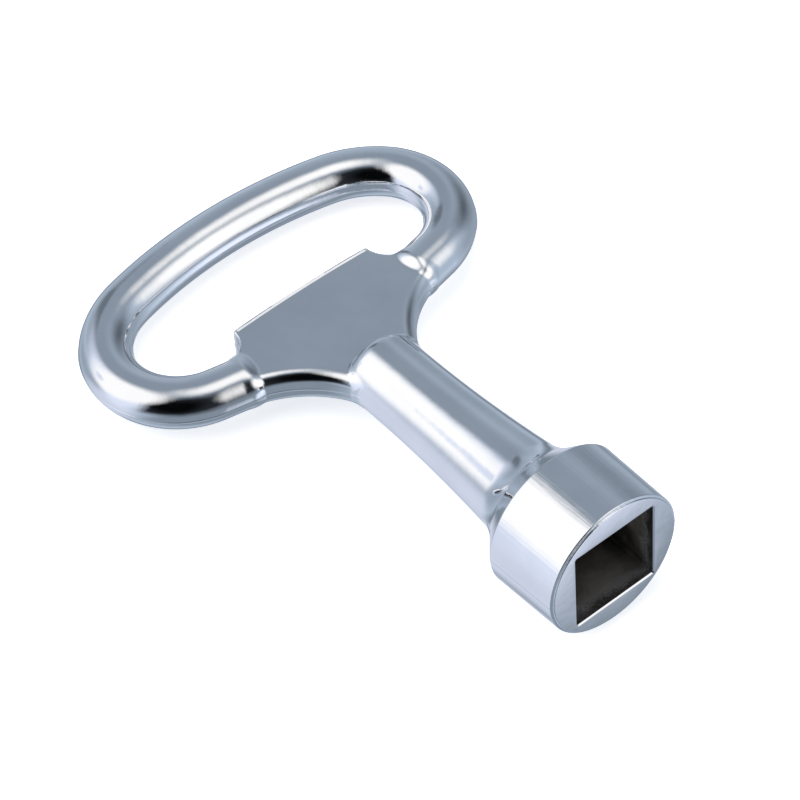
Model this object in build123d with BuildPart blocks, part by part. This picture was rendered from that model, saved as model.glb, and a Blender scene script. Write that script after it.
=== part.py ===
from build123d import *
import os

os.makedirs("parts", exist_ok=True)

# A one-piece cast key for square bleed-valve spindles, modelled as the regions of
# its casting, which meet face to face.  Millimetres.  The origin is the centre of
# the square mouth: +Y runs along the shank to the bow, +X across the bow, +Z up
# through its thickness.

# Socket head: a round boss with a little draft, a bevelled rim and a square pocket.
square_af = 5.2
square_corner_r = 0.15
head_mouth_r = 4.22
head_back_r = 4.32
head_length = 4.65
rim_bevel = 0.22

# Shoulder: the cone between the head and the shank.
shoulder_length = 1.7
shank_foot_r = 2.78

# Shank: narrows in a long hollow curve to a straight end, which is rounded over and
# stands proud on the web.
shank_end_r = 2.18
shank_taper_end_y = 17.0
shank_end_y = 18.95
shank_end_round = 0.9

# Bow: a D-shaped loop of bar, a little wider than it is high.  Each half of its
# centre line is three arcs, which start across the top and turn 168 degrees in all,
# and then a short straight run that leans in towards the web, where the bar ends.
bar_width = 2.92
bar_height = 2.7
bow_top_y = 32.3
top_arc_r = 27.2
top_arc_turn = 14.6
corner_arc_r = 5.9
corner_arc_turn = 33.5
side_arc_r = 4.16
side_arc_turn = 119.9
lower_run = 2.1

# Web: a flat plate with a slightly crowned top edge that stands into the loop,
# hollow corners where it meets the lower bar, and hollow flanks with well rounded
# edges, which run from inside the bar's ends down to the shank.
web_thickness = 2.0
web_half_width = 4.62
web_corner_y = 25.1
web_crown = 0.12
web_top_bevel = 0.2
web_corner_r = 1.7
flank_r = 6.5
flank_top_x = 6.46
flank_top_y = 21.28
flank_foot_x = 2.1
flank_foot_y = 17.4
flank_edge_round = 0.7

shoulder_end_y = head_length + shoulder_length


with BuildPart() as socket_head:
    with BuildSketch(Plane.XY):
        with BuildLine():
            Polyline(
                (0, 0),
                (head_mouth_r - rim_bevel, 0),
                (head_mouth_r, rim_bevel),
                (head_back_r, head_length),
                (0, head_length),
                close=True,
            )
        make_face()
    revolve(axis=Axis.Y)
    with BuildSketch(Plane.XZ):
        RectangleRounded(square_af, square_af, square_corner_r)
    extrude(amount=-head_length, mode=Mode.SUBTRACT)
socket_head.part.label = "socket_head"


with BuildPart() as shoulder:
    with BuildSketch(Plane.XY):
        with BuildLine():
            Polyline(
                (0, head_length),
                (head_back_r, head_length),
                (shank_foot_r, shoulder_end_y),
                (0, shoulder_end_y),
                close=True,
            )
        make_face()
    revolve(axis=Axis.Y)
shoulder.part.label = "shoulder"


with BuildPart() as shank:
    with BuildSketch(Plane.XY):
        with BuildLine():
            taper = TangentArc(
                (shank_end_r, shank_taper_end_y), (shank_foot_r, shoulder_end_y), tangent=(0, -1)
            )
            Polyline(
                taper @ 0,
                (shank_end_r, shank_end_y),
                (0, shank_end_y),
                (0, shoulder_end_y),
                taper @ 1,
            )
        make_face()
    revolve(axis=Axis.Y)
    end_rim = shank.edges().filter_by(GeomType.CIRCLE).sort_by(Axis.Y)[-1]
    fillet(end_rim, shank_end_round)
shank.part.label = "shank"


with BuildPart() as bow:
    with BuildLine() as centre_line:
        top_arc = JernArc((0, bow_top_y), (1, 0), top_arc_r, -top_arc_turn)
        corner_arc = JernArc(top_arc @ 1, top_arc % 1, corner_arc_r, -corner_arc_turn)
        side_arc = JernArc(corner_arc @ 1, corner_arc % 1, side_arc_r, -side_arc_turn)
        Line(side_arc @ 1, side_arc @ 1 + side_arc % 1 * lower_run)
    with BuildSketch(Plane(origin=(0, bow_top_y, 0), x_dir=(0, 1, 0), z_dir=(1, 0, 0))):
        Ellipse(bar_width / 2, bar_height / 2)
    sweep(path=centre_line.line)
    mirror(about=Plane.YZ)
bow.part.label = "bow"


with BuildPart() as web:
    with BuildSketch(Plane.XY):
        with BuildLine():
            TangentArc(
                (0, web_corner_y + web_crown), (web_half_width, web_corner_y), tangent=(1, 0)
            )
            corner_centre = (web_half_width + web_corner_r, web_corner_y)
            corner = CenterArc(corner_centre, web_corner_r, 180, 90)
            flank_top = (flank_top_x, flank_top_y)
            flank_foot = (flank_foot_x, flank_foot_y)
            Line(corner @ 1, flank_top)
            RadiusArc(flank_top, flank_foot, -flank_r)
            Line(flank_foot, (0, flank_foot_y))
            mirror(about=Plane.YZ)
        make_face()
    extrude(amount=web_thickness / 2, both=True)
    round_faces = web.faces().filter_by(GeomType.CYLINDER)
    flank_faces = round_faces.filter_by(lambda face: abs(face.radius - flank_r) < 0.001)
    fillet(flank_faces.edges().filter_by(GeomType.CIRCLE), flank_edge_round)
    crown_faces = web.faces().sort_by(Axis.Y)[-2:]
    crown_edges = crown_faces.edges().filter_by(GeomType.CIRCLE)
    chamfer(crown_edges, web_top_bevel)
    add(bow.part, mode=Mode.SUBTRACT)
    add(shank.part, mode=Mode.SUBTRACT)
web.part.label = "web"


export_step(socket_head.part, "parts/socket_head.step")
export_step(shoulder.part, "parts/shoulder.step")
export_step(shank.part, "parts/shank.step")
export_step(bow.part, "parts/bow.step")
export_step(web.part, "parts/web.step")
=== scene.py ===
import math

import bpy
import numpy as np
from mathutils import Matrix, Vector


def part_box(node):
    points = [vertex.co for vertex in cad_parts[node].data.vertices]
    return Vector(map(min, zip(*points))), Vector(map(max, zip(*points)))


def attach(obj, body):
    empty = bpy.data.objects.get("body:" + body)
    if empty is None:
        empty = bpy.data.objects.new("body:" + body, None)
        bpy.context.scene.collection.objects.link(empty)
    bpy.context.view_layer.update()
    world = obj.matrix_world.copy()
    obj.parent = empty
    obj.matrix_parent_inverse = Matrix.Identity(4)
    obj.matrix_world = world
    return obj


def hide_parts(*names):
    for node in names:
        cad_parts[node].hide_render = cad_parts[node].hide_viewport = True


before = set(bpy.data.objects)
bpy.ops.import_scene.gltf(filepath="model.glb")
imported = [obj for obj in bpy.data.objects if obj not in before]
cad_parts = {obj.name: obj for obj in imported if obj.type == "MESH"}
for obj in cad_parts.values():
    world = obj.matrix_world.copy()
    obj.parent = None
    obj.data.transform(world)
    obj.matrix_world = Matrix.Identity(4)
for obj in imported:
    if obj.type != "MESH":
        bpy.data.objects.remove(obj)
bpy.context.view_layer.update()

import openvdb
from mathutils import Matrix, Vector


# The key is one chrome-plated casting.  Its bow, web and shank are meshed together
# from one distance field, so that their fillets run from piece to piece, and then
# cut into the pieces of the CAD model.  The shoulder and the socket head are turned
# shapes with crisp edges, so they are built ring by ring.
# Lengths are in millimetres until a mesh is made; MM turns them into metres.  The
# materials work in metres, so a noise's scale is the number of its cells in a metre.
MM = 0.001


def box_mm(node):
    """Lowest and highest corner of a CAD node, in millimetres."""
    low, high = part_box(node)
    return np.array(low) / MM, np.array(high) / MM


bow_low, bow_high = box_mm("bow")
shank_low, shank_high = box_mm("shank")
web_high = box_mm("web")[1]
head_high = box_mm("socket_head")[1]

# Bow: each half of its centre line is three arcs and a short straight run.
bar_half_width = 1.46
bar_half_height = bow_high[2]
bow_top_y = bow_high[1] - bar_half_width
arc_radii = (27.2, 5.9, 4.16)
arc_turns = (14.6, 33.5, 119.9)
lower_run = 2.1
bow_end_round = 0.6

# Web: a flat plate with crisp edges on the loop's side and well rounded flanks.
web_half_height = web_high[2]
web_top_y = web_high[1]
web_half_width = 4.62
web_crown = 0.12
web_edge_r = 0.15
web_corner_r = 1.7
web_side_x = 7.3
web_foot_y = 17.2
flank_r = 6.5
flank_centre = (8.14, 15.0)
flank_edge_r = 0.7

# Shank: narrows in a long hollow curve to a straight end, which is rounded over.
shank_foot_y = shank_low[1]
shank_foot_r = shank_high[0]
shank_end_y = shank_high[1]
shank_end_r = 2.18
shank_end_round = 0.9
shank_taper_end_y = 17.0

# Fillets where the regions of the casting run together.  The one between bow and web
# fades out along the bar, from the web's side to where the web ends inside the bar, down
# to a last share of its radius.  The one at the shank's foot starts at foot_fillet_y.
bow_fillet_r = 0.38
bow_fillet_fade = (5.9, 6.9)
bow_fillet_last_share = 0.02
shank_fillet_r = 0.22
foot_fillet_r = 0.5
foot_fillet_y = 5.9

# Parting line: a low ridge all round the casting, half way up.
parting_half = 0.07
parting_height = 0.025

# A fine bead that the mould left along the web's top edge.
bead_inset = 0.17
bead_half = 0.12
bead_height = 0.05
bead_fade = (4.3, 4.55)

# Shoulder and socket head.  The face falls back by face_dome from the mouth to the rim.
# The rim's step is two moves, each given as how far it goes out and back.
head_mouth_r = 4.22
head_back_r = head_high[0]
head_back_y = head_high[1]
rim_bevel = 0.22
rim_step = ((0.01, 0.03), (0.015, 0.01))
rim_steep = math.radians(-20)
rim_shallow = math.radians(-68)
edge_round = 0.07
back_edge_r = 0.12
cone_top_r = 4.287
square_half = 2.6
square_corner_r = 0.15
mouth_bevel = 0.07
face_dome = 0.05
socket_rings_y = (3.4, 2.2, 1.2, 0.5)

# Samples next to the middle of each side of the square: the inner pair, at the foot of
# the parting line's ridge on the head's outside, and a pair that keeps the rest round.
ridge_foot_sample = 0.04
round_sample = 0.06

# The skin's grid, how far its shape runs on below the shank's foot before it is cut
# there, and what the grid leaves free round the shape.
grid_spacing = 0.12
foot_run_on = 0.4
free_below = 0.3
free_sides = 0.5

# Angles of the head's outside, from straight out towards the bow.
draft = math.atan2(head_mouth_r - head_back_r, head_back_y - rim_bevel)
cone_tilt = math.atan2(cone_top_r - shank_foot_r, shank_foot_y - head_back_y)


# Distance fields.  A field is negative inside the metal and grows outwards.


def fillet_union(a, b, radius):
    """Both shapes, with the inside corner between them filleted."""
    near_a = np.maximum(radius - a, 0)
    near_b = np.maximum(radius - b, 0)
    return np.maximum(np.minimum(a, b), radius) - np.hypot(near_a, near_b)


def rounded_overlap(a, b, radius):
    """What both shapes share, with the outside corner rounded."""
    past_a = np.maximum(a + radius, 0)
    past_b = np.maximum(b + radius, 0)
    return np.minimum(np.maximum(a, b), -radius) + np.hypot(past_a, past_b)


def centre_line():
    """The arcs of the bow's right half, and the run after them."""
    point = np.array([0.0, bow_top_y])
    heading = 0.0
    arcs = []
    for radius, turn in zip(arc_radii, arc_turns):
        across = heading - math.pi / 2
        centre = point + radius * np.array([math.cos(across), math.sin(across)])
        start = heading + math.pi / 2
        heading -= math.radians(turn)
        end = heading + math.pi / 2
        arcs.append((centre, radius, end, start))
        point = centre + radius * np.array([math.cos(end), math.sin(end)])
    direction = np.array([math.cos(heading), math.sin(heading)])
    return arcs, point, direction


def bow_field(x, y, z):
    x = np.abs(x)
    arcs, run_start, run_direction = centre_line()
    nearest = np.full(np.shape(x), np.inf)
    for centre, radius, low_angle, high_angle in arcs:
        angle = np.clip(np.arctan2(y - centre[1], x - centre[0]), low_angle, high_angle)
        gap_x = x - centre[0] - radius * np.cos(angle)
        gap_y = y - centre[1] - radius * np.sin(angle)
        nearest = np.minimum(nearest, np.hypot(gap_x, gap_y))
    from_x = x - run_start[0]
    from_y = y - run_start[1]
    along = np.maximum(from_x * run_direction[0] + from_y * run_direction[1], 0)
    gap_x = from_x - along * run_direction[0]
    gap_y = from_y - along * run_direction[1]
    run = rounded_overlap(bar(np.hypot(gap_x, gap_y), z), along - lower_run, bow_end_round)
    return np.minimum(bar(nearest, z), run)


def bar(reach, z):
    """The bow's bar, from the distance to its centre line in plan."""
    return (np.hypot(reach / bar_half_width, z / bar_half_height) - 1) * bar_half_height


def beyond_crown(x, y):
    """Distance past the web's crowned top edge."""
    crown_r = (web_half_width**2 + web_crown**2) / (2 * web_crown)
    return np.hypot(x, y - web_top_y + crown_r) - crown_r


def web_field(x, y, z):
    side = np.abs(x)
    corner_y = web_top_y - web_crown
    crown = beyond_crown(side, y)
    past_corner = side - web_half_width - web_corner_r
    corner = web_corner_r - np.hypot(np.minimum(past_corner, 0), y - corner_y)
    corner = np.where(y < corner_y, corner, np.maximum(corner, past_corner + web_corner_r))
    ends = np.maximum(side - web_side_x, web_foot_y - y)
    outline = np.maximum(rounded_overlap(crown, corner, web_edge_r), ends)
    plate = rounded_overlap(outline, np.abs(z) - web_half_height, web_edge_r)
    flank = flank_r - np.hypot(side - flank_centre[0], y - flank_centre[1])
    return rounded_overlap(plate, flank, flank_edge_r)


def shank_field(x, y, z):
    reach = np.hypot(x, z)
    rise = shank_taper_end_y - shank_foot_y
    swell = shank_foot_r - shank_end_r
    taper_r = (rise**2 + swell**2) / (2 * swell)
    taper = taper_r - np.hypot(reach - shank_end_r - taper_r, y - shank_taper_end_y)
    side = np.where(y < shank_taper_end_y, taper, reach - shank_end_r)
    return rounded_overlap(side, y - shank_end_y, shank_end_round)


def cone_field(x, y, z):
    out = (np.hypot(x, z) - shank_foot_r) * math.cos(cone_tilt)
    return out + (y - shank_foot_y) * math.sin(cone_tilt)


def casting_field(x, y, z):
    """Bow, web, shank and the shoulder's cone as one shape."""
    stem = fillet_union(shank_field(x, y, z), cone_field(x, y, z), foot_fillet_r)
    fade_start, fade_end = bow_fillet_fade
    fade = np.clip((fade_end - np.abs(x)) / (fade_end - fade_start), bow_fillet_last_share, 1)
    loop = fillet_union(bow_field(x, y, z), web_field(x, y, z), bow_fillet_r * fade)
    return fillet_union(stem, loop, shank_fillet_r)


def gradient(points, step=0.004):
    """The casting field's direction of steepest rise at each point."""
    slopes = []
    for axis in range(3):
        offset = np.zeros(3)
        offset[axis] = step
        above = casting_field(*(points + offset).T)
        below = casting_field(*(points - offset).T)
        slopes.append((above - below) / (2 * step))
    return np.stack(slopes, axis=1)


def settle(points, rounds=4):
    """Moves points onto the casting's surface."""
    for _ in range(rounds):
        slope = gradient(points)
        size = np.einsum("ij,ij->i", slope, slope)
        shift = casting_field(*points.T) / np.maximum(size, 0.05)
        points = points - shift[:, None] * slope
    return points


def unit(rows):
    return rows / np.linalg.norm(rows, axis=1)[:, None]


# Meshes


class Skin:
    """A closed mesh, with a normal for each corner of each face."""

    def __init__(self):
        self.points = []
        self.faces = []
        self.normals = []
        self.materials = []

    def face(self, corners, normals, material=0):
        self.faces.append(tuple(int(corner) for corner in corners))
        self.normals.extend(normals)
        self.materials.append(material)

    def ring(self, points):
        start = len(self.points)
        self.points.extend(points)
        return list(range(start, start + len(points)))

    def band(self, ring_a, ring_b, normals_a, normals_b, material=0):
        """Quads from one ring to the next."""
        for i, a in enumerate(ring_a):
            j = (i + 1) % len(ring_a)
            corners = (a, ring_b[i], ring_b[j], ring_a[j])
            normals = (normals_a[i], normals_b[i], normals_b[j], normals_a[j])
            self.face(corners, normals, material)

    def disc(self, ring, centre, normal, material=0):
        """Triangles from a ring to its centre."""
        hub = self.ring([centre])[0]
        for i, a in enumerate(ring):
            corners = (a, ring[(i + 1) % len(ring)], hub)
            self.face(corners, (normal, normal, normal), material)

    def mesh(self, name):
        mesh = bpy.data.meshes.new(name)
        mesh.from_pydata((np.array(self.points) * MM).tolist(), [], self.faces)
        mesh.polygons.foreach_set("use_smooth", [True] * len(self.faces))
        mesh.polygons.foreach_set("material_index", self.materials)
        mesh.normals_split_custom_set([tuple(normal) for normal in self.normals])
        return mesh


def casting_surface(spacing):
    """Points and triangles of the casting's skin, from below the shank's foot to the bow."""
    margin = 3 * spacing
    floor_y = shank_foot_y - foot_run_on
    low = np.array([bow_low[0], floor_y - free_below, -shank_foot_r - free_sides]) - margin
    high = np.array([bow_high[0], bow_high[1], shank_foot_r + free_sides]) + margin
    steps = [np.arange(a, b + spacing, spacing) for a, b in zip(low, high)]
    values = np.empty([len(axis) for axis in steps], np.float32)
    for i, x in enumerate(steps[0]):
        y, z = np.meshgrid(steps[1], steps[2], indexing="ij")
        values[i] = np.maximum(casting_field(np.full(y.shape, x), y, z), floor_y - y)
    grid = openvdb.FloatGrid(2.0)
    grid.copyFromArray(np.clip(values, -2, 2))
    points, quads = grid.convertToQuads(0.0)
    points = low + points.astype(float) * spacing
    quads = quads.astype(int)
    points = even_out(points, quads, points[:, 1] > floor_y + spacing)
    triangles = np.concatenate([quads[:, [0, 1, 2]], quads[:, [0, 2, 3]]])
    return points, triangles


def even_out(points, quads, free, rounds=4):
    """Spreads the free points evenly over the casting's surface."""
    starts = quads.ravel()
    ends = np.roll(quads, -1, axis=1).ravel()
    count = np.bincount(np.concatenate([starts, ends]), minlength=len(points))
    points[free] = settle(points[free])
    for _ in range(rounds):
        total = np.zeros_like(points)
        for axis in range(3):
            total[:, axis] += np.bincount(starts, points[ends, axis], len(points))
            total[:, axis] += np.bincount(ends, points[starts, axis], len(points))
        mean = total / count[:, None]
        points[free] = settle((points[free] + mean[free]) / 2, rounds=2)
    return points


def split(points, triangles, level):
    """Cuts triangles along the line where level changes sign."""
    level = np.where(np.abs(level) < 1e-7, 1e-7, level)
    raised = level[triangles] > 0
    count = raised.sum(axis=1)
    below = [tuple(row) for row in triangles[count == 0]]
    above = [tuple(row) for row in triangles[count == 3]]
    points = list(points)
    cuts = {}

    def cut(a, b):
        key = (min(a, b), max(a, b))
        if key not in cuts:
            share = level[a] / (level[a] - level[b])
            cuts[key] = len(points)
            points.append(points[a] + share * (points[b] - points[a]))
        return cuts[key]

    for row, up, n in zip(triangles, raised, count):
        if n in (0, 3):
            continue
        lone = int(np.argmax(up)) if n == 1 else int(np.argmin(up))
        a, b, c = np.roll(row, -lone)
        p = cut(a, b)
        q = cut(a, c)
        small, large = (above, below) if n == 1 else (below, above)
        small.append((a, p, q))
        large.extend([(p, b, c), (p, c, q)])
    return np.array(points), np.array(below, int), np.array(above, int)


def open_loops(triangles):
    """The loops of edges with a triangle on one side only, against that triangle's turn."""
    edges = {}
    for row in triangles:
        for a, b in zip(row, np.roll(row, -1)):
            edges[(int(a), int(b))] = True
    following = {b: a for a, b in edges if (b, a) not in edges}
    loops = []
    while following:
        start, point = next(iter(following.items()))
        del following[start]
        loop = [start]
        while point != start:
            loop.append(point)
            point = following.pop(point)
        loops.append(loop)
    return loops


class Ridge:
    """A low ridge with straight sides along the line where across(points) is zero."""

    def __init__(self, across, half, height, share):
        self.across = across
        self.half = half
        self.height = height
        self.share = share

    def cut(self, points, triangles):
        """Cuts the skin along the ridge's two feet and its crest."""
        for offset in (-self.half, 0, self.half):
            points, lower, upper = split(points, triangles, self.across(points) - offset)
            triangles = np.concatenate([lower, upper])
        return points, triangles

    def raised(self, points, normals):
        on_crest = np.abs(self.across(points)) < 1e-6
        lift = self.height * self.share(points) * on_crest
        return points + lift[:, None] * normals

    def leaning(self, points, triangles, corner_normals):
        """Corner normals of the triangles on the ridge's sides, turned to those sides."""
        middle = points[triangles].mean(axis=1)
        across = self.across(middle)
        on_side = np.abs(across) < self.half
        step = 0.01
        offsets = np.eye(3) * step
        rise = [self.across(middle + offset) - across for offset in offsets]
        direction = unit(np.stack(rise, axis=1) + 1e-12)
        lean = self.height / self.half * self.share(middle) * np.sign(across) * on_side
        return corner_normals + (lean[:, None] * direction)[:, None, :]


def on_web_flat(points):
    """1 on the web's flats, fading to 0 towards its corners, and 0 elsewhere."""
    fade_start, fade_end = bead_fade
    share = np.clip((fade_end - np.abs(points[:, 0])) / (fade_end - fade_start), 0, 1)
    return share * (np.abs(points[:, 2]) > 0.9 * web_half_height)


def everywhere(points):
    return np.ones(len(points))


def above_middle(points):
    return points[:, 2]


def above_bead(points):
    return beyond_crown(points[:, 0], points[:, 1]) + bead_inset


ridges = (
    Ridge(above_middle, parting_half, parting_height, everywhere),
    Ridge(above_bead, bead_half, bead_height, on_web_flat),
)


def capped_mesh(name, points, triangles, hub_of):
    """A piece of the casting's skin, closed by a fan of triangles over each of its cuts."""
    used, renumbered = np.unique(triangles, return_inverse=True)
    triangles = renumbered.reshape(-1, 3)
    points = points[used]
    normals = unit(gradient(points))
    corner_normals = normals[triangles]
    flat_points = points
    for ridge in ridges:
        corner_normals = ridge.leaning(flat_points, triangles, corner_normals)
        points = ridge.raised(points, normals)
    skin = Skin()
    skin.ring(points)
    skin.faces.extend(map(tuple, triangles.tolist()))
    skin.normals.extend(unit(corner_normals.reshape(-1, 3)))
    skin.materials.extend([0] * len(triangles))
    for loop in open_loops(triangles):
        hub_point = hub_of(points[loop])
        hub = skin.ring([hub_point])[0]
        for i, a in enumerate(loop):
            b = loop[(i + 1) % len(loop)]
            normal = np.cross(points[b] - points[a], hub_point - points[a])
            normal = normal / max(np.linalg.norm(normal), 1e-9)
            skin.face((a, b, hub), (normal, normal, normal))
    return skin.mesh(name)


def hub_of_cut(loop_points):
    """Where the triangles over a cut meet: on the axis, or in the middle of the bar."""
    middle = loop_points.mean(axis=0)
    if abs(middle[0]) > bar_half_width:
        return np.array([middle[0], middle[1], 0.0])
    at_foot = middle[1] < (shank_foot_y + web_foot_y) / 2
    return np.array([0.0, shank_foot_y if at_foot else web_foot_y, 0.0])


def square_ring(half, corner_r, side_steps=40, corner_steps=8):
    """A rounded square in x and z: its points and its outward normals."""
    points = []
    normals = []
    straight = half - corner_r
    for quarter in range(4):
        turn = quarter * math.pi / 2
        corner = turn + math.pi / 4
        centre = straight * math.sqrt(2) * np.array([math.cos(corner), math.sin(corner)])
        for step in range(corner_steps + 1):
            angle = turn + step / corner_steps * math.pi / 2
            out = np.array([math.cos(angle), math.sin(angle)])
            points.append(centre + corner_r * out)
            normals.append(out)
        last = points[-1]
        along = np.array([-math.cos(turn), -math.sin(turn)])
        runs = np.arange(1, side_steps) * 2 * straight / side_steps
        offsets = (-round_sample, -ridge_foot_sample, ridge_foot_sample, round_sample)
        near_middle = [straight + offset for offset in offsets]
        for run in sorted([*runs, *near_middle]):
            points.append(last + along * run)
            normals.append(normals[-1])
    return np.array(points), np.array(normals)


class Round:
    """The directions in which the head and shoulder are sampled, with the parting line.

    The line's ridge has its crest at z = 0, and its foot at the samples next to that."""

    def __init__(self, square):
        self.directions = unit(square)
        lift = np.abs(self.directions[:, 1])
        ranks = np.argsort(lift)
        self.rise = np.zeros(len(square))
        self.rise[ranks[:2]] = parting_height
        self.lean = np.zeros((len(square), 2))
        foot = ranks[2:6]
        self.lean[foot, 1] = np.sign(self.directions[foot, 1]) * parting_height / parting_half

    def ring(self, radius, y):
        return level_ring(self.directions * (radius + self.rise)[:, None], y)

    def normals(self, tilt):
        return tilted(unit(self.directions + self.lean), tilt)


def level_ring(flat, y):
    """Points of the XZ plane, moved along the key."""
    return np.stack([flat[:, 0], np.full(len(flat), y), flat[:, 1]], axis=1)


def tilted(flat_normals, tilt):
    """Normals that lean from straight out towards +Y by an angle."""
    out = flat_normals * math.cos(tilt)
    return np.stack([out[:, 0], np.full(len(out), math.sin(tilt)), out[:, 1]], axis=1)


def rounded_edge(centre_r, centre_y, radius, start_tilt, end_tilt, steps):
    """A rounded edge of a turned profile, as rows of radius, y and normal tilt."""
    rows = []
    for tilt in np.linspace(start_tilt, end_tilt, steps + 1):
        rows.append((centre_r + radius * math.cos(tilt), centre_y + radius * math.sin(tilt), tilt))
    return rows


def head_profile():
    """The head's outside from the rim, which has a fine step in it, to the back edge."""
    facing = -math.pi / 2
    r = edge_round
    face_r = head_mouth_r - rim_bevel
    face_slope = 2 * face_dome / (face_r - square_half)
    rows = rounded_edge(face_r, face_dome + r, r, facing + face_slope, rim_steep, 4)
    for (out, back), tilt in zip(rim_step, (rim_steep, rim_shallow)):
        rows.append((rows[-1][0] + out, rows[-1][1] + back, tilt))
    rows += rounded_edge(head_mouth_r - r, rim_bevel, r, rim_shallow, draft, 5)
    back_r = cone_top_r - back_edge_r * math.cos(cone_tilt)
    back_y = head_back_y - back_edge_r * math.sin(cone_tilt)
    return rows + rounded_edge(back_r, back_y, back_edge_r, draft, cone_tilt, 6)


def socket_head_mesh(square, square_normals, around):
    """The round head: socket walls, mouth, domed face, rim, drafted side and back."""
    skin = Skin()
    walls = tilted(-square_normals, 0)
    ring_ys = (head_back_y, *socket_rings_y, mouth_bevel)
    rings = [skin.ring(level_ring(square, y)) for y in ring_ys]
    for ring_a, ring_b in zip(rings, rings[1:]):
        skin.band(ring_a, ring_b, walls, walls, material=1)
    wide_square = square * (square_half + mouth_bevel) / square_half
    mouth = skin.ring(level_ring(wide_square, 0))
    slope = tilted(-square_normals, -math.pi / 4)
    skin.band(rings[-1], mouth, slope, slope)

    profile = head_profile()
    face_r = profile[0][0]
    facing = tilted(around.directions, -math.pi / 2)
    outer = mouth
    outer_normals = facing
    for share in (0.25, 0.5, 0.75, 1.0):
        flat = wide_square * (1 - share) + around.directions * face_r * share
        reach = (np.linalg.norm(flat, axis=1) - square_half) / (face_r - square_half)
        points = level_ring(flat, 0)
        points[:, 1] = face_dome * reach**2
        slope = 2 * face_dome * reach / (face_r - square_half)
        normals = unit(facing + slope[:, None] * tilted(around.directions, 0))
        ring = skin.ring(points)
        skin.band(outer, ring, outer_normals, normals, material=2)
        outer = ring
        outer_normals = normals
    for radius, y, tilt in profile[1:]:
        ring = skin.ring(around.ring(radius, y))
        normals = around.normals(tilt)
        skin.band(outer, ring, outer_normals, normals)
        outer = ring
        outer_normals = normals
    back = tilted(around.directions, math.pi / 2)
    skin.band(outer, rings[0], back, back)
    return skin.mesh("socket_head")


def shoulder_mesh(around):
    """The cone between head and shank, with the lower half of the fillet at its foot."""
    skin = Skin()
    cone_ys = np.linspace(head_back_y, foot_fillet_y, 6)
    ys = np.concatenate([cone_ys, np.linspace(foot_fillet_y + 0.05, shank_foot_y, 12)])
    rings = []
    normals = []
    for y in ys:
        share = (y - head_back_y) / (shank_foot_y - head_back_y)
        radius = cone_top_r + share * (shank_foot_r - cone_top_r)
        for _ in range(8):
            radius -= casting_field(np.array([radius]), np.array([y]), np.zeros(1))[0]
        slope = gradient(np.array([[radius, y, 0.0]]))[0]
        rings.append(skin.ring(around.ring(radius, y)))
        normals.append(around.normals(math.atan2(slope[1], slope[0])))
    for a in range(len(ys) - 1):
        skin.band(rings[a], rings[a + 1], normals[a], normals[a + 1])
    skin.disc(rings[0], (0.0, head_back_y, 0.0), (0.0, -1.0, 0.0), material=1)
    skin.disc(rings[-1][::-1], (0.0, shank_foot_y, 0.0), (0.0, 1.0, 0.0))
    return skin.mesh("shoulder")


# Pieces


def add_piece(name, mesh, node, materials):
    piece = bpy.data.objects.new(name, mesh)
    bpy.context.scene.collection.objects.link(piece)
    for material in materials:
        mesh.materials.append(material)
    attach(piece, "root")
    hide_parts(node)


class Nodes:
    """Adds shader nodes to a tree and joins them up."""

    def __init__(self, tree):
        self.tree = tree

    def add(self, kind, inputs=None, **settings):
        node = self.tree.nodes.new("ShaderNode" + kind)
        for name, value in settings.items():
            setattr(node, name, value)
        for key, value in (inputs or {}).items():
            if isinstance(value, bpy.types.NodeSocket):
                self.tree.links.new(value, node.inputs[key])
            else:
                node.inputs[key].default_value = value
        return node

    def noise(self, vector, scale, detail, roughness=0.5):
        inputs = {"Vector": vector, "Scale": scale, "Detail": detail, "Roughness": roughness}
        return self.add("TexNoise", inputs).outputs["Fac"]

    def spread(self, value, low, high, to_low, to_high, **settings):
        """A value from low to high, brought to another range and held there."""
        inputs = {
            "Value": value,
            "From Min": low,
            "From Max": high,
            "To Min": to_low,
            "To Max": to_high,
        }
        return self.add("MapRange", inputs, **settings).outputs["Result"]

    def sum(self, *values):
        total = values[0]
        for value in values[1:]:
            total = self.add("Math", {0: total, 1: value}, operation="ADD").outputs[0]
        return total

    def product(self, value, factor):
        return self.add("Math", {0: value, 1: factor}, operation="MULTIPLY").outputs[0]

    def stretched(self, vector, scale):
        return self.add("Mapping", {"Vector": vector, "Scale": scale}).outputs[0]

    def blend(self, factor, colour_a, colour_b):
        """From colour a to colour b, as the factor goes from 0 to 1."""
        inputs = {0: factor, 6: colour_a, 7: colour_b}
        return self.add("Mix", inputs, data_type="RGBA").outputs[2]

    def dot(self, vector, fixed):
        inputs = {0: vector, 1: fixed.tolist()}
        return self.add("VectorMath", inputs, operation="DOT_PRODUCT").outputs["Value"]

    def bump(self, height, distance, strength):
        inputs = {"Height": height, "Distance": distance, "Strength": strength}
        return self.add("Bump", inputs).outputs["Normal"]


def new_metal(name):
    """A material, with a maker of its nodes, its shader's inputs and the place on the key."""
    material = bpy.data.materials.new(name)
    material.use_nodes = True
    nodes = Nodes(material.node_tree)
    inputs = material.node_tree.nodes["Principled BSDF"].inputs
    return material, nodes, inputs, nodes.add("TexCoord").outputs["Object"]


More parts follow.
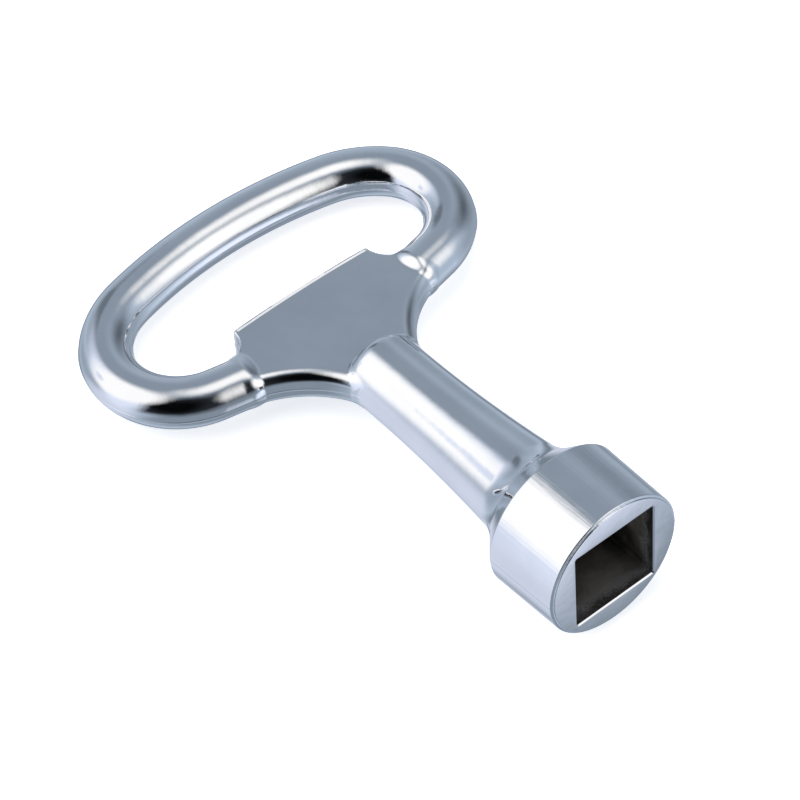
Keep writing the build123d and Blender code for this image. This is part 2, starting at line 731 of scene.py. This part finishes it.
def plated_metal(name, drawn=0.0):
    """Bright chrome over a polished casting.  Drawn gives it faint lines along the key."""
    material, nodes, inputs, place = new_metal(name)
    link = material.node_tree.links.new
    # Thin plating, in slightly duller patches.
    thin = nodes.spread(nodes.noise(place, 260, 3), 0.35, 0.7, 0, 1)
    colour = nodes.blend(thin, (0.9, 0.9, 0.905, 1), (0.83, 0.83, 0.845, 1))
    # Hairlines from handling, in three directions.
    scratches = []
    for stretch in ((9000, 500, 500), (500, 9000, 700), (3500, 4200, 500)):
        line = nodes.noise(nodes.stretched(place, stretch), 1, 2)
        scratches.append(nodes.spread(line, 0.66, 0.72, 0, 1))
    hairlines = nodes.sum(*scratches)
    # Polishing haze, and the hairlines in it.
    haze = nodes.spread(nodes.noise(place, 900, 4), 0.4, 0.75, 0.045, 0.11)
    roughness = nodes.sum(haze, nodes.product(hairlines, 0.06))
    # The polished casting is wavy, with fine pits.
    waves = nodes.product(nodes.noise(place, 380, 2), 2.0)
    dents = nodes.product(nodes.noise(place, 1000, 1), 0.35)
    fine = nodes.product(nodes.noise(place, 2600, 2), 0.28)
    pits = nodes.product(nodes.spread(nodes.noise(place, 5200, 1), 0.74, 0.8, 0, 1), -0.08)
    height = nodes.sum(waves, dents, fine, pits, nodes.product(hairlines, -0.01))
    if drawn:
        lines = nodes.noise(nodes.stretched(place, (5200, 90, 5200)), 1, 3)
        height = nodes.sum(height, nodes.product(lines, drawn))
    inputs["Metallic"].default_value = 1
    link(colour, inputs["Base Color"])
    link(roughness, inputs["Roughness"])
    link(nodes.bump(height, 0.012 * MM, 1.0), inputs["Normal"])
    return material


def socket_metal_and_painted_shade(name):
    """Inside the socket: the chrome fades within a millimetre to dark rough bare metal, whose
    near-black is partly its own colour and partly painted shade of the deep socket.
    """
    material, nodes, inputs, place = new_metal(name)
    link = material.node_tree.links.new
    depth = nodes.add("SeparateXYZ", {"Vector": place}).outputs["Y"]
    patchy = nodes.noise(place, 700, 4, 0.6)
    uneven_depth = nodes.sum(depth, nodes.product(patchy, -1.4 * MM))
    # Painted shade: as the plating's share falls off with depth, the colour darkens deeper into
    # the socket.
    plating_and_painted_shade = nodes.spread(uneven_depth, -0.5 * MM, 0.3 * MM, 1, 0)
    stain = nodes.spread(nodes.noise(place, 420, 3), 0.35, 0.65, 0, 1)
    # Bare zinc with random stains. Its near-black end is painted shade of the deep socket.
    zinc_and_painted_shade = nodes.blend(stain, (0.07, 0.06, 0.055, 1), (0.30, 0.28, 0.26, 1))
    link(nodes.blend(plating_and_painted_shade, zinc_and_painted_shade, (0.62, 0.63, 0.66, 1)), inputs["Base Color"])
    link(nodes.spread(plating_and_painted_shade, 0, 1, 0.5, 1), inputs["Metallic"])
    link(nodes.spread(plating_and_painted_shade, 0, 1, 0.42, 0.16), inputs["Roughness"])
    height = nodes.sum(nodes.noise(place, 3200, 4), patchy)
    link(nodes.bump(height, 0.03 * MM, 0.8), inputs["Normal"])
    return material


chrome = plated_metal("chrome_plate")
head_chrome = plated_metal("chrome_plate_head", drawn=0.9)
# The socket's inside: bare zinc, with painted shade deeper in.
bare_socket_and_painted_shade = socket_metal_and_painted_shade("socket_bare_and_painted_shade")

points, triangles = casting_surface(grid_spacing)
points, _, triangles = split(points, triangles, points[:, 1] - shank_foot_y)
for ridge in ridges:
    points, triangles = ridge.cut(points, triangles)
nearest = np.minimum(web_field(*points.T), bow_field(*points.T))
points, shank_skin, triangles = split(points, triangles, shank_field(*points.T) - nearest)
points, web_skin, bow_skin = split(points, triangles, web_field(*points.T) - bow_field(*points.T))
bow_mesh = capped_mesh("bow", points, bow_skin, hub_of_cut)
web_mesh = capped_mesh("web", points, web_skin, hub_of_cut)
shank_mesh = capped_mesh("shank", points, shank_skin, hub_of_cut)

square, square_normals = square_ring(square_half, square_corner_r)
add_piece("bow_plated", bow_mesh, "bow", [chrome])
add_piece("web_plated", web_mesh, "web", [chrome])
add_piece("shank_plated", shank_mesh, "shank", [chrome])
around = Round(square)
add_piece("shoulder_plated", shoulder_mesh(around), "shoulder", [chrome, bare_socket_and_painted_shade])
head_mesh = socket_head_mesh(square, square_normals, around)
add_piece("head_plated", head_mesh, "socket_head", [head_chrome, bare_socket_and_painted_shade, chrome])


# Camera: it looks at the key's upper side from the socket's end, a little from the left.
# Its angles, distance, target and lens are also a separate program's fit to the picture.
camera_azimuth = math.radians(-36.61)
camera_elevation = math.radians(47.76)
camera_roll = math.radians(-4.62)
camera_distance = 181.18
camera_target = np.array([-0.702, 15.937, 0.0])
camera_lens = 155.62
camera_sensor = 36

towards = np.array(
    [
        math.sin(camera_azimuth) * math.cos(camera_elevation),
        -math.cos(camera_azimuth) * math.cos(camera_elevation),
        math.sin(camera_elevation),
    ]
)
level_right = np.array([math.cos(camera_azimuth), math.sin(camera_azimuth), 0.0])
level_up = np.cross(towards, level_right)
right = math.cos(camera_roll) * level_right + math.sin(camera_roll) * level_up
up = math.cos(camera_roll) * level_up - math.sin(camera_roll) * level_right
camera_data = bpy.data.cameras.new("camera")
camera_data.lens = camera_lens
camera_data.sensor_width = camera_sensor
camera_data.clip_start = 10 * MM
camera_data.clip_end = 50000 * MM
camera = bpy.data.objects.new("camera", camera_data)
bpy.context.scene.collection.objects.link(camera)
rotation = Matrix(np.stack([right, up, towards], axis=1).tolist()).to_4x4()
place = Matrix.Translation(Vector((camera_target + towards * camera_distance) * MM))
camera.matrix_world = place @ rotation
bpy.context.scene.camera = camera

# Floor: the key lies tilted on its head and its bow.  Its metal mirrors the studio
# below, not the floor, which is only there to catch a shadow.
floor_gap = 0.02
floor_reach = 2500
head_touch_y = head_back_y - 0.4
head_touch_z = -head_back_r - floor_gap
bow_touch_y = bow_high[1] - 1.5
bow_touch_z = bow_low[2] - floor_gap
floor_slope = (bow_touch_z - head_touch_z) / (bow_touch_y - head_touch_y)
corners = []
for x, y in ((-1, -1), (1, -1), (1, 1), (-1, 1)):
    z = head_touch_z + floor_slope * (y * floor_reach - head_touch_y)
    corners.append((x * floor_reach * MM, y * floor_reach * MM, z * MM))
floor_mesh = bpy.data.meshes.new("floor")
floor_mesh.from_pydata(corners, [], [(0, 1, 2, 3)])
paper = bpy.data.materials.new("paper")
paper.use_nodes = True
paper_inputs = paper.node_tree.nodes["Principled BSDF"].inputs
paper_inputs["Base Color"].default_value = (0.9, 0.9, 0.9, 1)
paper_inputs["Roughness"].default_value = 0.9
paper_inputs["Specular IOR Level"].default_value = 0.0
paper_inputs["Emission Color"].default_value = (1, 1, 1, 1)
paper_inputs["Emission Strength"].default_value = 0.6
floor_mesh.materials.append(paper)
floor = bpy.data.objects.new("floor", floor_mesh)
bpy.context.scene.collection.objects.link(floor)
floor.visible_glossy = False


# The studio round the key, laid out as a mirror ball in the key's place shows it from
# the camera's side: x to the right, y up, 0 in the middle and 1 at the ball's rim.
# Each patch is a soft ellipse: centre, half sizes, turn in degrees, softness of its
# edge, brightness and tint.  White patches are softboxes; the others are the room.
# These numbers are mostly not chosen by hand.  A separate program fitted 14 of the 18
# patches to what the chrome shows in the reference picture, and 84 of those patches' 98
# numbers are its output, rounded.  Set one by one are the other 14, and four whole
# patches: the first two, the first of the light on the table, and the gap.  The tints
# were set to colours read off the picture.
room_tint = (0.83, 1.0, 1.22)
pale_tint = (0.90, 0.98, 1.17)
white = (1.0, 1.0, 1.0)
paper_level = 0.62
backdrop_level = 0.95
studio_strength = 1.1
patches = (
    # white paper behind the key shows at the ball's rim, then a dark line, then the room
    ((0, 0), (0.985, 0.985), 0, 0.01, 0.22, room_tint),
    ((0, 0), (0.955, 0.955), 0, 0.02, 0.52, room_tint),
    # walls: high up, on the right, on the left and behind the softboxes
    ((0.19, 0.75), (0.45, 0.14), -11, 0.22, 0.41, room_tint),
    ((0.83, 0.25), (0.16, 0.46), 16, 0.80, 0.34, room_tint),
    ((-0.84, 0.19), (0.07, 0.29), -10, 0.94, 0.36, room_tint),
    ((-0.12, 0.42), (0.54, 0.34), -21, 0.29, 0.30, room_tint),
    # two dark corners of the room, high up
    ((0.46, 0.60), (0.27, 0.12), -35, 1.0, 0.12, room_tint),
    ((-0.37, 0.69), (0.13, 0.05), 13, 0.51, 0.17, room_tint),
    # table top
    ((0.23, -0.60), (0.63, 0.27), 5, 0.27, 0.27, room_tint),
    # dark side of the room behind the camera, and its darkest part
    ((-0.10, -0.10), (0.62, 0.33), -3, 0.33, 0.022, room_tint),
    ((-0.09, -0.10), (0.22, 0.26), 17, 0.5, 0.002, room_tint),
    # light thrown on the left of the table, and on its right
    ((-0.70, -0.42), (0.20, 0.32), 20, 0.5, 0.68, pale_tint),
    ((-0.50, 0.06), (0.20, 0.49), -7, 0.36, 0.84, pale_tint),
    ((0.59, -0.44), (0.19, 0.10), 53, 0.70, 0.97, pale_tint),
    # left, right and top softbox
    ((-0.42, 0.17), (0.24, 0.33), -45, 0.30, 1.04, white),
    ((0.41, 0.07), (0.17, 0.27), 17, 0.48, 1.06, white),
    ((0.08, 0.42), (0.15, 0.13), 10, 0.67, 1.0, white),
    # a gap in the left softbox, which keeps the web's flat from turning all white from the right
    ((-0.606, 0.212), (0.07, 0.035), 58, 0.7, 0.78, pale_tint),
)


def tinted(level, tint):
    return tuple(level * part for part in tint) + (1,)


def studio_world():
    """The patches for what the key mirrors, and a plain backdrop for the camera."""
    world = bpy.data.worlds.new("studio")
    world.use_nodes = True
    nodes = Nodes(world.node_tree)
    background = world.node_tree.nodes["Background"]
    direction = nodes.add("TexCoord").outputs["Generated"]
    halfway = nodes.add("VectorMath", {0: direction, 1: towards.tolist()}, operation="ADD")
    facing = nodes.add("VectorMath", {0: halfway.outputs[0]}, operation="NORMALIZE").outputs[0]
    inputs = {"X": nodes.dot(facing, right), "Y": nodes.dot(facing, up)}
    on_ball = nodes.add("CombineXYZ", inputs).outputs[0]
    shade = tinted(paper_level, pale_tint)
    for centre, size, turn, softness, level, tint in patches:
        inputs = {
            "Vector": on_ball,
            "Location": (*centre, 0),
            "Rotation": (0, 0, math.radians(turn)),
            "Scale": (*size, 1),
        }
        placed = nodes.add("Mapping", inputs, vector_type="TEXTURE").outputs[0]
        reach = nodes.add("VectorMath", {0: placed}, operation="LENGTH").outputs["Value"]
        inside = nodes.spread(
            reach, 1 - softness, 1 + softness, 1, 0, interpolation_type="SMOOTHSTEP"
        )
        shade = nodes.blend(inside, shade, tinted(level, tint))
    seen = nodes.add("LightPath").outputs["Is Camera Ray"]
    shade = nodes.blend(seen, shade, tinted(backdrop_level, white))
    world.node_tree.links.new(shade, background.inputs["Color"])
    background.inputs["Strength"].default_value = studio_strength
    return world


bpy.context.scene.world = studio_world()
bpy.context.scene.view_settings.view_transform = "Standard"


# A large soft light from above that the chrome doesn't mirror.
lamp_place = Vector((-300, 200, 900))
lamp_target = Vector((0, 16, 0))
lamp_size = 1200
lamp_power = 7.0

lamp_data = bpy.data.lights.new("overhead", "AREA")
lamp_data.shape = "DISK"
lamp_data.size = lamp_size * MM
lamp_data.energy = lamp_power
lamp = bpy.data.objects.new("overhead", lamp_data)
bpy.context.scene.collection.objects.link(lamp)
lamp_turn = (lamp_place - lamp_target).to_track_quat("Z", "Y").to_matrix().to_4x4()
lamp.matrix_world = Matrix.Translation(lamp_place * MM) @ lamp_turn
lamp.visible_camera = False
lamp.visible_glossy = False
